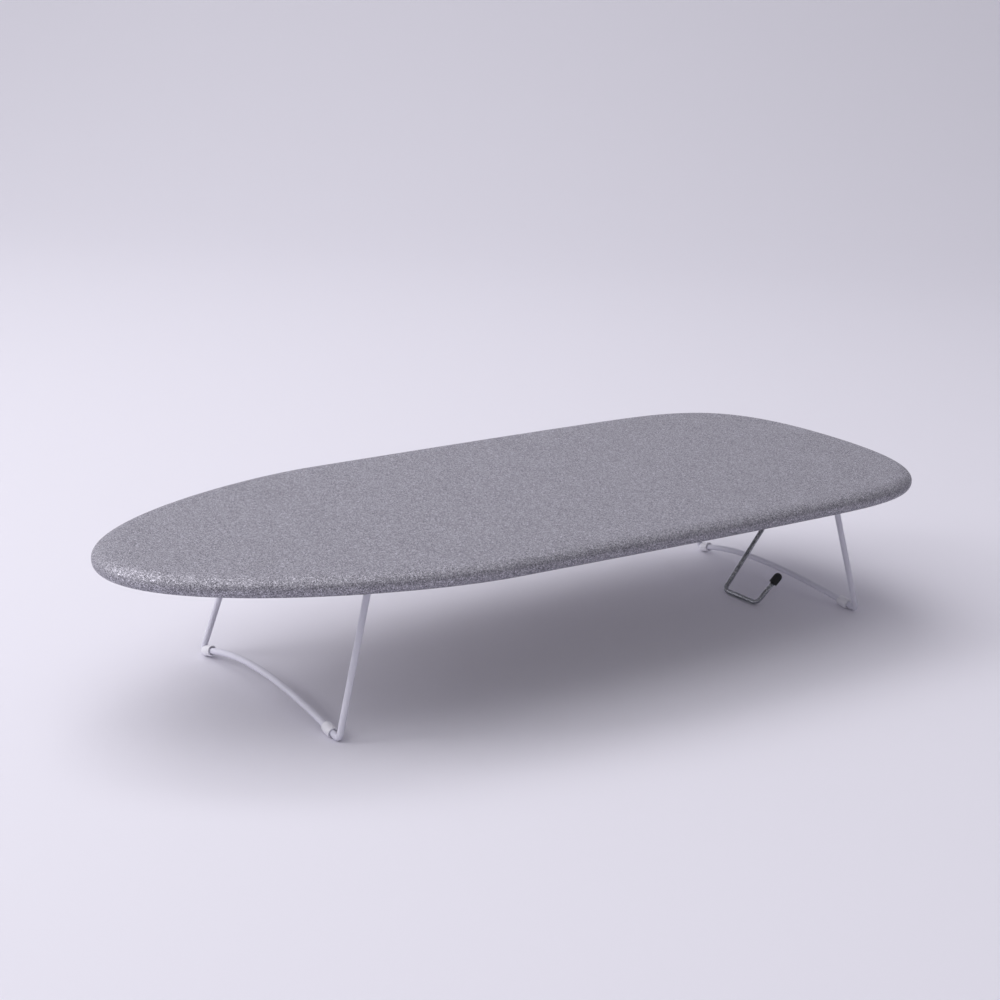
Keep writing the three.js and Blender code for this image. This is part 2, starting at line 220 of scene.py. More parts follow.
class Finish:  # a material with one Principled shader, wired up piece by piece
    def __init__(self, name, **fixed):
        self.material = bpy.data.materials.new(name)
        self.material.use_nodes = True
        self.tree = self.material.node_tree
        self.shader = self.tree.nodes["Principled BSDF"]
        for socket, value in fixed.items():
            self.shader.inputs[socket.replace("_", " ")].default_value = value

    def feed(self, socket, value):
        if isinstance(value, Wire):
            self.tree.links.new(value.socket, socket)
        else:
            socket.default_value = value

    def node(self, kind, settings, sockets, output=0):
        made = self.tree.nodes.new(kind)
        for key, value in settings.items():
            if key == "stops":
                ramp = made.color_ramp
                while len(ramp.elements) < len(value):
                    ramp.elements.new(0.5)
                for element, (position, shade) in zip(ramp.elements, value):
                    element.position = position
                    element.color = (shade, shade, shade, 1)
            else:
                setattr(made, key, value)
        for key, value in sockets.items():
            self.feed(made.inputs[key], value)
        return Wire(self, made.outputs[output])

    def maths(self, operation, first, second=0.0):
        return self.node("ShaderNodeMath", {"operation": operation}, {0: first, 1: second})

    def place(self):  # the piece's own coordinates, in millimetres
        here = self.node("ShaderNodeTexCoord", {}, {}, "Object")
        return self.node("ShaderNodeVectorMath", {"operation": "SCALE"}, {0: here, "Scale": 1000.0})

    def stretched(self, vector, amounts):
        return self.node("ShaderNodeVectorMath", {"operation": "MULTIPLY"}, {0: vector, 1: amounts})

    def cloud(self, vector, size, detail=3.0, roughness=0.55):  # noise with lumps about `size` across
        sockets = {"Vector": vector, "Scale": 1 / size, "Detail": detail, "Roughness": roughness}
        return self.node("ShaderNodeTexNoise", {}, sockets)

    def ramp(self, value, *stops):
        return self.node("ShaderNodeValToRGB", {"stops": stops}, {0: value})

    def mix(self, share, first, second):
        return self.node("ShaderNodeMix", {"data_type": "RGBA"}, {0: share, 6: first, 7: second}, 2)

    def bump(self, height, distance, strength=1.0):
        bent = self.node(
            "ShaderNodeBump", {}, {"Height": height, "Distance": distance * mm, "Strength": strength}
        )
        self.feed(self.shader.inputs["Normal"], bent)

    def drive(self, **sockets):
        for socket, value in sockets.items():
            self.feed(self.shader.inputs[socket.replace("_", " ")], value)


clothLook = {
    "dark": (0.07, 0.069, 0.086, 1),
    "light": (0.82, 0.80, 0.89, 1),
    "thread": 0.62,  # pitch of the weave
    "fleck": (1.5, 0.62),  # length and width of one coloured bit of yarn
    "stagger": 0.53,  # how far each row of flecks is shifted
    "glint": 0.93,  # the share of flecks that aren't shiny
}


def coverCloth():
    look = clothLook
    cloth = Finish(
        "silverMelangeCloth", Sheen_Weight=0.02, Sheen_Roughness=0.5, Specular_IOR_Level=0.25
    )
    flat = cloth.node("ShaderNodeUVMap", {"uv_map": "clothPlace"}, {})
    wander = cloth.cloud(flat, 9, 2)
    split = cloth.tree.nodes.new("ShaderNodeSeparateXYZ")
    cloth.feed(split.inputs[0], flat)
    across = Wire(cloth, split.outputs[0]) + wander * 0.5
    along = Wire(cloth, split.outputs[1]) + wander * 0.5

    warp = cloth.maths("SINE", across * (math.pi / look["thread"]))
    weft = cloth.maths("SINE", along * (math.pi / look["thread"]))
    weave = warp * weft * 0.5 + 0.5

    def flecks(first, second, seed):
        column = cloth.maths("FLOOR", first / look["fleck"][0])
        row = cloth.maths("FLOOR", second / look["fleck"][1])
        cell = cloth.node("ShaderNodeCombineXYZ", {}, {0: column, 1: row, 2: seed})
        return cloth.node("ShaderNodeTexWhiteNoise", {"noise_dimensions": "3D"}, {"Vector": cell}, "Value")

    onWarp = weave > 0.5
    stagger = cloth.maths("FLOOR", along / look["fleck"][1]) * look["stagger"]
    warpFlecks = flecks(across + stagger, along, 3.0) * onWarp
    random = warpFlecks + flecks(along, across, 11.0) * (1 - onWarp)
    grain = cloth.cloud(flat, 0.95, 3, 0.75)
    tone = cloth.ramp(
        random, (0.0, 0.06), (0.2, 0.26), (0.62, 0.42), (0.86, 0.62), (1.0, 1.0)
    )
    patch = cloth.cloud(flat, 34, 3)
    shade = tone * 0.78 + (grain - 0.5) * 1.7 + patch * 0.07 + 0.02
    cloth.drive(
        Base_Color=cloth.mix(shade, look["dark"], look["light"]),
        Roughness=0.64 - (random > look["glint"]) * 0.3,
        Metallic=0.55 + (random > look["glint"]) * 0.35,
    )
    cloth.bump(weave * 0.6 + grain * 0.5 + random * 0.25, 0.16, 0.8)
    return cloth.material


def whiteCoat():
    coat = Finish("whitePowderCoat", Coat_Roughness=0.22, IOR=1.5)
    here = coat.place()
    peel = coat.cloud(here, 1.1, 2)
    tint = coat.cloud(here, 26, 3)
    coat.drive(
        Base_Color=coat.mix(tint, (0.70, 0.69, 0.79, 1), (0.80, 0.79, 0.88, 1)),
        Roughness=0.30 + tint * 0.12,
        Coat_Weight=0.25 + peel * 0.2,
    )
    coat.bump(peel, 0.03, 0.6)
    return coat.material


def zincWire():
    zinc = Finish("brightZincWire", Metallic=1.0)
    here = zinc.place()
    crystalAndGlint = zinc.node(
        "ShaderNodeTexVoronoi", {"feature": "F1"}, {"Vector": here, "Scale": 1.3}, "Color"
    )
    grain = zinc.cloud(here, 0.7, 3, 0.7)
    cloudy = zinc.cloud(here, 8, 3)
    spangle = zinc.node("ShaderNodeSeparateColor", {}, {0: crystalAndGlint})
    # painted glints and painted reflection: these cells swing the wire's base colour from near black to
    # bright, so speckles of light and dark reflection are painted into its colour; the cloudy share below
    # is random tone
    glint = zinc.ramp(spangle, (0.0, 0.0), (0.55, 0.18), (0.8, 0.5), (1.0, 1.0))
    zinc.drive(
        Base_Color=zinc.mix(
            glint * 0.75 + cloudy * 0.25, (0.13, 0.14, 0.16, 1), (0.90, 0.91, 0.95, 1)
        ),
        Roughness=0.14 + grain * 0.2,
    )
    zinc.bump(grain * 0.6 + spangle * 0.6, 0.09, 0.9)
    return zinc.material


def galvanised(name, dull):  # sheet steel with a dull zinc spangle
    sheet = Finish(name, Metallic=0.92)
    here = sheet.place()
    spangle = sheet.node(
        "ShaderNodeTexVoronoi", {"feature": "F1"}, {"Vector": here, "Scale": 0.33}, "Color"
    )
    level = sheet.node("ShaderNodeSeparateColor", {}, {0: spangle})
    streak = sheet.cloud(sheet.stretched(here, (1.0, 0.12, 1.0)), 0.6, 2)
    stain = sheet.cloud(here, 17, 4)
    sheet.drive(
        Base_Color=sheet.mix(level * 0.5 + stain * 0.5, (0.40, 0.41, 0.43, 1), (0.66, 0.68, 0.70, 1)),
        Roughness=dull + stain * 0.18 + level * 0.08,
    )
    sheet.bump(streak + level * 0.4, 0.03, 0.5)
    return sheet.material


def blackVinyl():
    vinyl = Finish("blackDippedVinyl", IOR=1.5)
    here = vinyl.place()
    skin = vinyl.cloud(here, 0.8, 2)
    vinyl.drive(
        Base_Color=vinyl.mix(skin, (0.003, 0.003, 0.004, 1), (0.008, 0.008, 0.009, 1)),
        Roughness=0.42 + skin * 0.2,
    )
    vinyl.bump(skin, 0.04, 0.5)
    return vinyl.material


def palePlastic(name, low, high, milky):  # moulded or extruded plastic that lets a little light through
    plastic = Finish(
        name,
        IOR=1.46,
        Subsurface_Weight=milky,
        Subsurface_Radius=(1.0, 1.0, 1.0),
        Subsurface_Scale=1.5 * mm,
    )
    here = plastic.place()
    flow = plastic.cloud(here, 3.5, 3)
    fine = plastic.cloud(here, 0.45, 2)
    plastic.drive(Base_Color=plastic.mix(flow, low, high), Roughness=0.28 + flow * 0.16)
    plastic.bump(fine, 0.02, 0.4)
    return plastic.material


def padFelt():
    felt = Finish("needledFelt", Sheen_Weight=0.3)
    here = felt.place()
    fibre = felt.cloud(felt.stretched(here, (1.0, 0.35, 1.0)), 0.5, 5, 0.7)
    clump = felt.cloud(here, 6, 3)
    felt.drive(
        Base_Color=felt.mix(fibre * 0.7 + clump * 0.3, (0.46, 0.44, 0.41, 1), (0.80, 0.78, 0.73, 1)),
        Roughness=0.88 + fibre * 0.1,
    )
    felt.bump(fibre + clump * 0.5, 0.25, 0.8)
    return felt.material


def sewingThread():
    thread = Finish("greyThread", Sheen_Weight=0.2)
    here = thread.place()
    twist = thread.cloud(here, 0.35, 2)
    thread.drive(
        Base_Color=thread.mix(twist, (0.22, 0.22, 0.25, 1), (0.46, 0.46, 0.50, 1)),
        Roughness=0.6 + twist * 0.2,
    )
    thread.bump(twist, 0.08, 0.6)
    return thread.material


finishes = {
    "cloth": coverCloth(),
    "coat": whiteCoat(),
    "zinc": zincWire(),
    "mesh": galvanised("galvanisedMesh", 0.34),
    "sheet": galvanised("galvanisedSheet", 0.26),
    "rivet": galvanised("rivetSteel", 0.22),
    "vinyl": blackVinyl(),
    "sleeve": palePlastic("milkyTube", (0.78, 0.77, 0.83, 1), (0.90, 0.89, 0.94, 1), 0.3),
    "nylon": palePlastic("whiteNylon", (0.78, 0.78, 0.76, 1), (0.88, 0.88, 0.86, 1), 0.2),
    "felt": padFelt(),
    "thread": sewingThread(),
}
print("materials made:", len(finishes))


# making meshes

def makePiece(name, points, faces, finish, body, slot, *replaced):
    mesh = bpy.data.meshes.new(name)
    mesh.from_pydata(points, [], faces)
    tidy = bmesh.new()
    tidy.from_mesh(mesh)
    bmesh.ops.recalc_face_normals(tidy, faces=tidy.faces)
    tidy.to_mesh(mesh)
    tidy.free()
    mesh.shade_smooth()
    mesh.materials.append(finishes[finish])
    piece = bpy.data.objects.new(name, mesh)
    bpy.context.scene.collection.objects.link(piece)
    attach(piece, body)
    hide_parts(*replaced)
    return piece


def ringFaces(rings, size, closed=False):  # quads between rings of `size` points
    faces = []
    for i in range(rings if closed else rings - 1):
        here, there = i * size, (i + 1) % rings * size
        for j in range(size):
            after = (j + 1) % size
            faces.append((here + j, here + after, there + after, there + j))
    return faces


def bezier(points, t):
    while len(points) > 1:
        points = [a.lerp(b, t) for a, b in zip(points, points[1:])]
    return points[0]


# A line through corner points, each corner rounded to its radius. A corner with no radius is the
# control point of a parabola between the bends on both sides of it.
def bentLine(corners, radii, bendSteps=12, archSteps=60):
    bends = []
    for i, radius in enumerate(radii):
        corner = corners[i + 1]
        if radius is None:
            bends.append(None)
            continue
        before = (corners[i] - corner).normalized()
        after = (corners[i + 2] - corner).normalized()
        turn = math.pi - before.angle(after)
        reach = radius * math.tan(turn / 2)
        handle = reach - radius * 4 / 3 * math.tan(turn / 4)
        bends.append([
            corner + before * reach, corner + before * handle,
            corner + after * handle, corner + after * reach,
        ])
    line = [corners[0]]
    for i, bend in enumerate(bends):
        if bend is None:
            arch = [line[-1], corners[i + 1], bends[i + 1][0]]
            line += [bezier(arch, step / archSteps) for step in range(1, archSteps)]
        else:
            line += [bezier(bend, step / bendSteps) for step in range(bendSteps + 1)]
    return line + [corners[-1]]


def rodMesh(line, radius, sides=28):  # a round rod along a line, with eased ends
    ease = radius * 0.3
    axis = (line[1] - line[0]).normalized()
    out = axis.orthogonal().normalized()
    points = []
    rings = 0

    def ring(centre, size):
        nonlocal rings
        side = axis.cross(out)
        for k in range(sides):
            angle = 2 * math.pi * k / sides
            points.append(centre + (out * math.cos(angle) + side * math.sin(angle)) * size)
        rings += 1

    ring(line[0], radius - ease)
    ring(line[0] + axis * ease, radius)
    for before, here, after in zip(line, line[1:], line[2:]):
        new = ((here - before).normalized() + (after - here).normalized()).normalized()
        out = axis.rotation_difference(new) @ out
        axis = new
        ring(here, radius)
    new = (line[-1] - line[-2]).normalized()
    out = axis.rotation_difference(new) @ out
    axis = new
    ring(line[-1] - axis * ease, radius)
    ring(line[-1], radius - ease)
    faces = ringFaces(rings, sides)
    faces.append(tuple(range(sides)))
    faces.append(tuple((rings - 1) * sides + k for k in range(sides)))
    return points, faces


# a turned shape from [radius, distance along the axis] pairs, closed on itself or on the axis
def lathe(profile, place, axis, segments=40):
    turn = Vector((0, 0, 1)).rotation_difference(axis)
    points = []
    for radius, along in profile:
        for k in range(segments):
            angle = 2 * math.pi * k / segments
            spot = Vector((radius * math.cos(angle), radius * math.sin(angle), along))
            points.append(place + turn @ spot)
    faces = ringFaces(len(profile), segments, profile[0][0] > 0)
    return points, faces


def welded(piece, distance=1e-5):
    mesh = bmesh.new()
    mesh.from_mesh(piece.data)
    bmesh.ops.remove_doubles(mesh, verts=mesh.verts, dist=distance)
    bmesh.ops.recalc_face_normals(mesh, faces=mesh.faces)
    mesh.to_mesh(piece.data)
    mesh.free()
    return piece


def turnedPiece(name, profile, place, axis, *rest):
    metres = [(radius * mm, along * mm) for radius, along in profile]
    welded(makePiece(name, *lathe(metres, place, axis), *rest), 1e-6)


def middle(node):
    low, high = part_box(node)
    return (low + high) / 2


def easedCopy(node, finish, ease=0.25):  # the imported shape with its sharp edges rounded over
    source = frame["nodes"][node]
    mesh = source.data.copy()
    mesh.materials.clear()
    mesh.materials.append(finishes[finish])
    piece = bpy.data.objects.new(node + "Eased", mesh)
    bpy.context.scene.collection.objects.link(piece)
    work = bmesh.new()
    work.from_mesh(mesh)
    bmesh.ops.remove_doubles(work, verts=work.verts, dist=1e-6)
    bmesh.ops.dissolve_limit(work, angle_limit=math.radians(1), verts=work.verts, edges=work.edges)
    work.to_mesh(mesh)
    work.free()
    bevel = piece.modifiers.new("ease", "BEVEL")
    bevel.width = ease * mm
    bevel.segments = 2
    bevel.limit_method = "ANGLE"
    bevel.angle_limit = math.radians(35)
    bevel.harden_normals = True
    mesh.shade_smooth()
    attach(piece, source["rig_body"])
    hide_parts(node)


# the board's outline

sideCurves = [  # one side, in millimetres, from the middle of the nose to the middle of the tail
    [(-375, 0), (-375, 86.1), (-201.3, 143.4), (-114.4, 145.9)],
    [(-114.4, 145.9), (-10, 148.9), (80.4, 152.2), (203.8, 152.2)],
    [(203.8, 152.2), (304.4, 152.2), (375, 145.8), (375, 0)],
]
axisShare = 0.72  # the length of the middle line that the top's rings shrink to
curveSteps = 300


def sidePoints(count):  # evenly spaced along one side
    fine = []
    for curve in sideCurves:
        control = [Vector((x * mm, y * mm)) for x, y in curve]
        fine += [bezier(control, i / curveSteps) for i in range(curveSteps)]
    fine.append(Vector((sideCurves[-1][-1][0] * mm, 0)))
    travelled = [0]
    for a, b in zip(fine, fine[1:]):
        travelled.append(travelled[-1] + (b - a).length)
    picked = []
    at = 0
    for i in range(count + 1):
        goal = travelled[-1] * i / count
        while at < len(fine) - 2 and travelled[at + 1] < goal:
            at += 1
        share = (goal - travelled[at]) / (travelled[at + 1] - travelled[at])
        picked.append(fine[at].lerp(fine[at + 1], share))
    return picked, travelled[-1]


class Outline:
    def __init__(self, perSide):
        side, length = sidePoints(perSide)
        self.points = side + [Vector((p.x, -p.y)) for p in reversed(side[1:-1])]
        self.length = 2 * length
        self.count = len(self.points)
        self.normals = []
        for i in range(self.count):
            along = self.points[(i + 1) % self.count] - self.points[i - 1]
            self.normals.append(Vector((-along.y, along.x)).normalized())

    def ring(self, inset, height):
        return [
            Vector((p.x - n.x * inset, p.y - n.y * inset, height))
            for p, n in zip(self.points, self.normals)
        ]

    def inward(self, inset, share, height):  # from the inset ring towards the board's middle line
        return [
            Vector((p.x + (axisShare * q.x - p.x) * share, p.y * (1 - share), height))
            for p, q in zip(self.ring(inset, height), self.points)
        ]


# a closed band along the outline, from [inset, height] pairs
def bandMesh(outline, profile):
    points = [p for inset, height in profile for p in outline.ring(inset * mm, height * mm)]
    return points, ringFaces(len(profile), outline.count, True)


def roundedSection(low, high, near, far, radius, steps=5):  # a rounded box as [inset, height] pairs
    pairs = []
    corners = [
        (far - radius, high - radius, 0), (near + radius, high - radius, 90),
        (near + radius, low + radius, 180), (far - radius, low + radius, 270),
    ]
    for inset, height, start in corners:
        for step in range(steps + 1):
            angle = math.radians(start + 90 * step / steps)
            pairs.append((inset + radius * math.cos(angle), height + radius * math.sin(angle)))
    return pairs


coverShape = {
    "thickness": 0.9,
    "crown": 13,  # how far in from the edge the top starts to roll over
    "upperRoll": 7.6,  # height of that roll
    "lowerRoll": 6,
    "hem": 19,  # how far it turns in under the board
    "pucker": 1.5,
    "puckers": 132,
    "drift": 1.6,  # how far the puckers wander along the hem
    "drifts": 17,
    "sag": 0.22,  # unevenness of the top
    "topRings": 10,
    "crownSteps": 12,
    "rollSteps": 8,
    "hemSteps": 7,
}


def hemDrop(share, spot, under):  # how far a pucker hangs down, at a share of the way round
    turn = 2 * math.pi * share
    wander = coverShape["drift"] * math.sin(coverShape["drifts"] * turn)
    gather = 0.5 + 0.5 * math.sin(coverShape["puckers"] * turn + wander)
    uneven = 0.6 + 0.5 * noise.noise(Vector((spot.x, spot.y, 0)) * 18)
    return coverShape["pucker"] * under ** 1.3 * gather * uneven


def hemShare(inset):  # 0 where the hem starts under the board, 1 at its inner edge
    return max(0, inset - coverShape["lowerRoll"]) / (coverShape["hem"] - coverShape["lowerRoll"])


def makeCover():
    shape = coverShape
    low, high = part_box("cover")
    bottom, top = low.z / mm, high.z / mm
    outline = Outline(400)
    profile = []  # [inset, height], from the crown round the edge and in along the underside
    for step in range(shape["crownSteps"] + 1):
        angle = math.radians(90) * step / shape["crownSteps"]
        inset = shape["crown"] * (1 - math.sin(angle))
        profile.append((inset, top - shape["upperRoll"] * (1 - math.cos(angle))))
    roll = shape["lowerRoll"]
    for step in range(shape["rollSteps"] + 1):
        angle = math.radians(90) * step / shape["rollSteps"]
        profile.append((roll * (1 - math.cos(angle)), bottom + roll * (1 - math.sin(angle))))
    for step in range(1, shape["hemSteps"] + 1):
        profile.append((roll + (shape["hem"] - roll) * step / shape["hemSteps"], bottom))

    points, places = [], []
    for step in range(shape["topRings"], 0, -1):
        ring = outline.inward(shape["crown"] * mm, step / shape["topRings"], high.z)
        points += ring
        places += [Vector((p.x, p.y)) / mm for p in ring]
    topRings = len(points) // outline.count
    spread = -shape["crown"]
    before = None
    for inset, height in profile:
        if before:
            spread += math.hypot(inset - before[0], height - before[1])
        before = (inset, height)
        ring = outline.ring(inset * mm, height * mm)
        under = hemShare(inset) if height < bottom + 0.01 else 0
        for i, p in enumerate(ring):
            p.z -= hemDrop(i / outline.count, p, under) * mm
            points.append(p)
            n = outline.normals[i]
            places.append((outline.points[i] + n * spread * mm) / mm)
    for p in points:
        if p.z > high.z - 0.4 * mm:
            p.z -= shape["sag"] * mm * (0.5 + 0.5 * noise.noise(Vector((p.x, p.y, 0.3)) * 16))
    cover = makePiece("cover_cloth", points, ringFaces(topRings + len(profile), outline.count),
                      "cloth", "board", "cover_fabric", "cover")
    layer = cover.data.uv_layers.new(name="clothPlace")
    for loop in cover.data.loops:
        layer.data[loop.index].uv = places[loop.vertex_index]
    welded(cover)
    thick = cover.modifiers.new("thickness", "SOLIDIFY")
    thick.thickness = shape["thickness"] * mm
    thick.offset = -1
    return cover, outline


cover, outline = makeCover()
print("cover made:", len(cover.data.polygons), "faces")


casingShape = {"inset": 20.9, "lift": 0.3, "radius": 1.55, "puckers": 210, "ruffle": 0.35}


def makeCasing():  # the narrow tunnel of cloth that holds the elastic
    shape = casingShape
    around = 14
    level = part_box("cover")[0].z / mm + shape["lift"]
    points, places = [], []
    for k in range(around):
        angle = 2 * math.pi * k / around
        for i, (p, n) in enumerate(zip(outline.points, outline.normals)):
            wander = 2 * noise.noise(Vector((p.x, p.y, 1)) * 30)
            wave = math.sin(2 * math.pi * shape["puckers"] * i / outline.count + wander)
            radius = shape["radius"] + shape["ruffle"] * wave
            inset = (shape["inset"] - radius * math.cos(angle)) * mm
            points.append(Vector((p.x - n.x * inset, p.y - n.y * inset,
                                  (level + radius * 0.75 * math.sin(angle)) * mm)))
            places.append((i * outline.length / outline.count / mm, shape["radius"] * angle))
    casing = makePiece("hem_casing", points, ringFaces(around, outline.count, True),
                       "cloth", "board", "cover_fabric", "hem_elastic")
    layer = casing.data.uv_layers.new(name="clothPlace")
    for loop in casing.data.loops:
        layer.data[loop.index].uv = places[loop.vertex_index]
    return casing


casing = makeCasing()


stitchShape = {
    "inset": 17.4,
    "pitch": 3.4,
    "length": 2.5,
    "radius": 0.24,
    "sides": 6,
    "rings": [(-0.5, 0.4), (-0.25, 1), (0.25, 1), (0.5, 0.4)],  # shares of the length and radius
}


def makeStitches():  # one row of lockstitch beside the elastic
    shape = stitchShape
    sides, rings = shape["sides"], shape["rings"]
    count = int(outline.length / mm / shape["pitch"])
    ring = outline.ring(shape["inset"] * mm, 0)
    points, faces = [], []
    for k in range(count):
        at = k * outline.count / count
        i = int(at)
        a, b = ring[i % outline.count], ring[(i + 1) % outline.count]
        centre = a.lerp(b, at - i)
        along = (b - a).normalized()
        side = Vector((-along.y, along.x, 0))
        drop = hemDrop(at / outline.count, centre, hemShare(shape["inset"]))
        centre.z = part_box("cover")[0].z - (drop + 0.05) * mm
        start = len(points)
        for share, size in rings:
            reach = shape["radius"] * size
            for m in range(sides):
                angle = 2 * math.pi * m / sides
                around = side * math.cos(angle) * reach + Vector((0, 0, math.sin(angle) * reach))
                points.append(centre + (along * share * shape["length"] + around) * mm)
        faces += [tuple(start + v for v in face) for face in ringFaces(len(rings), sides)]
        last = start + (len(rings) - 1) * sides
        faces += [tuple(start + m for m in range(sides)), tuple(last + m for m in range(sides))]
    makePiece("hem_stitches", points, faces, "thread", "board", "cover_fabric")


makeStitches()
print("hem made")


padShape = {
    "under": 1.5,  # how far inside the cover it lies
    "give": 0.18,  # its unevenness
    "edgeSteps": 40,
    "rings": 8,
}


def makePad():
    low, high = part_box("pad")
    bottom, top = low.z / mm, high.z / mm
    crown, roll = coverShape["crown"], coverShape["upperRoll"]
    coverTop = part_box("cover")[1].z / mm
    coarse = Outline(200)
    steps, rings = padShape["edgeSteps"], padShape["rings"]
    edge = []
    for step in range(1, steps):
        angle = math.radians(90) * step / steps
        slope = Vector((math.sin(angle) / crown, math.cos(angle) / roll)).normalized()
        slope *= padShape["under"]
        height = min(top, coverTop - roll * (1 - math.cos(angle)) - slope.y)
        if height < bottom + 0.5:
            break
        edge.append((crown * (1 - math.sin(angle)) + slope.x, height))
    outer = edge[-1][0]
    edge += [(outer + 0.2, bottom + 0.15), (outer + 0.6, bottom)]
    points = []
    for step in range(rings, 0, -1):
        points += coarse.inward(crown * mm, step / rings, high.z)
    for inset, height in edge:
        points += coarse.ring(inset * mm, height * mm)
    for step in range(1, rings + 1):
        points += coarse.inward(crown * mm, step / rings, low.z)
    for p in points:
        lump = 0.5 + 0.5 * noise.noise(Vector((p.x, p.y, p.z * 3)) * 40)
        inwards = 1 if p.z < (low.z + high.z) / 2 else -1
        p.z += padShape["give"] * mm * lump * inwards
    pad = makePiece("felt_pad", points, ringFaces(len(points) // coarse.count, coarse.count),
                    "felt", "board", "pad_felt", "pad")
    return welded(pad)


pad = makePad()
print("pad made")


meshShape = {
    "long": 19,
    "short": 8.4,
    "strand": 1.15,
    "edge": 1.2,
    "merge": 0.2,  # corners nearer than this become one
    "sliver": 0.1,
}


def makeMesh():  # expanded steel, long diamonds across the board
    low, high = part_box("deck")
    inset = (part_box("cover")[1].x - high.x) / mm + meshShape["edge"]
    profile, _ = sidePoints(600)

    def halfWidth(x):
        if x <= profile[0].x or x >= profile[-1].x:
            return 0
        after = next(i for i, p in enumerate(profile) if p.x > x)
        a, b = profile[after - 1], profile[after]
        return a.y + (b.y - a.y) * (x - a.x) / (b.x - a.x)

    limit = high.x - meshShape["edge"] * mm
    stepX, stepY = meshShape["short"] / 2 * mm, meshShape["long"] / 2 * mm
    across = int(limit / stepX) + 1
    widths = {}
    for i in range(-across, across + 1):
        widths[i] = halfWidth(max(-limit, min(limit, i * stepX))) - inset * mm
    height = (low.z + high.z) / 2
    places, order = [], {}

    def corner(i, j):
        if (i, j) not in order:
            x = max(-limit, min(limit, i * stepX))
            width = max(widths[i], 0)
            order[i, j] = len(places)
            places.append(Vector((x, max(-width, min(width, j * stepY)), height)))
        return order[i, j]

    faces = []
    rows = int(high.y / stepY) + 2
    for i in range(-across + 1, across):
        for j in range(-rows, rows + 1):
            if (i + j) % 2 == 0:
                continue
            around = ((i - 1, j), (i, j - 1), (i + 1, j), (i, j + 1))
            if any(abs(row * stepY) < widths[column] for column, row in around):
                faces.append(tuple(corner(column, row) for column, row in around))
    mesh = makePiece("expanded_mesh", places, faces, "mesh", "board", "deck_mesh", "deck")
    work = bmesh.new()
    work.from_mesh(mesh.data)
    bmesh.ops.remove_doubles(work, verts=work.verts, dist=meshShape["merge"] * mm)
    bmesh.ops.dissolve_degenerate(work, edges=work.edges, dist=meshShape["sliver"] * mm)
    work.to_mesh(mesh.data)
    work.free()
    strands = mesh.modifiers.new("strands", "WIREFRAME")
    strands.thickness = meshShape["strand"] * mm
    strands.use_even_offset = False
    strands.use_boundary = True
    strands.use_replace = True
    mesh.data.shade_flat()


makeMesh()
print("expanded mesh made")


rimShape = {"depth": 8, "rounding": 2.2, "steps": 6}


def makeRim():
    low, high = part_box("rim")
    inset = (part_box("cover")[1].y - high.y) / mm
    depth, rounding, steps = (rimShape[key] for key in ("depth", "rounding", "steps"))
    section = roundedSection(low.z / mm, high.z / mm, inset, inset + depth, rounding, steps)
    makePiece("rolled_rim", *bandMesh(Outline(240), section), "coat", "board", "white_coat", "rim")


makeRim()
for node in ("nose_rail", "tail_rail", "hook_rail"):
    easedCopy(node, "coat", 0.3)
print("rim and rails made")


legShape = {  # millimetres; the widths, the bends and the arch lie in the leg's own plane
    "footHeight": 2.53,
    "topHalfWidth": 90,
    "footHalfWidth": 101.6,
    "stubEnd": 69.4,
    "archRise": 12.3,
    "archSkew": 15,
    "topBend": 5,
    "footBend": 3.2,
    "nose": {"outward": -1, "run": 29.3},
    "tail": {"outward": 1, "run": 31.2},
}
sleeveShape = {"radius": 4.3, "bore": 3.0, "length": 10.5, "ease": 0.7, "lip": 0.3}
pastTop = 20  # points of a leg's line that run along its near stub and down to the near foot


def makeLeg(name):
    shape = legShape
    outward, run = shape[name]["outward"], shape[name]["run"] * mm
    pivot = Vector(joints[name + "_leg_fold"]["pos_m"])
    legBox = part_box(name + "_leg")
    radius = legBox[1].z - pivot.z
    drop = pivot.z - shape["footHeight"] * mm
    lean = math.atan2(run, drop)
    reach = math.hypot(run, drop)

    def place(y, down):
        return Vector((pivot.x + outward * down * math.sin(lean), y, pivot.z - down * math.cos(lean)))

    def halfLine(side):
        return [
            place(side * shape["stubEnd"] * mm, 0),
            place(side * shape["topHalfWidth"] * mm, 0),
            place(side * shape["footHalfWidth"] * mm, reach),
        ]

    peak = place(2 * shape["archSkew"] * mm, reach - 2 * shape["archRise"] * mm)
    topBend, footBend = shape["topBend"] * mm, shape["footBend"] * mm
    corners = halfLine(-1) + [peak] + halfLine(1)[::-1]
    line = bentLine(corners, [topBend, footBend, None, footBend, topBend])
    leg = name + "_leg"
    makePiece(leg + "_rod", *rodMesh(line, radius), "coat", leg, "white_coat", leg)

    tube = sleeveShape
    half, ease, lip = tube["length"] / 2, tube["ease"], tube["lip"]
    bore, outer = tube["bore"], tube["radius"]
    profile = [
        (bore, -half + lip), (bore + lip, -half), (outer - ease, -half),
        (outer - 0.2 * ease, 0.25 * ease - half), (outer, ease - half), (outer, -1), (outer, 1),
        (outer, half - ease), (outer - 0.2 * ease, half - 0.25 * ease),
        (outer - ease, half), (bore + lip, half), (bore, half - lip),
    ]
    for side in ("near", "far"):
        node = f"{name}_{side}_sleeve"
        centre = middle(node)
        after = next(i for i, p in enumerate(line) if i > pastTop and p.y > centre.y)
        along = (line[after] - line[after - 1]).normalized()
        turnedPiece(node + "_tube", profile, centre, along, "sleeve", leg, "foot_sleeve", node)


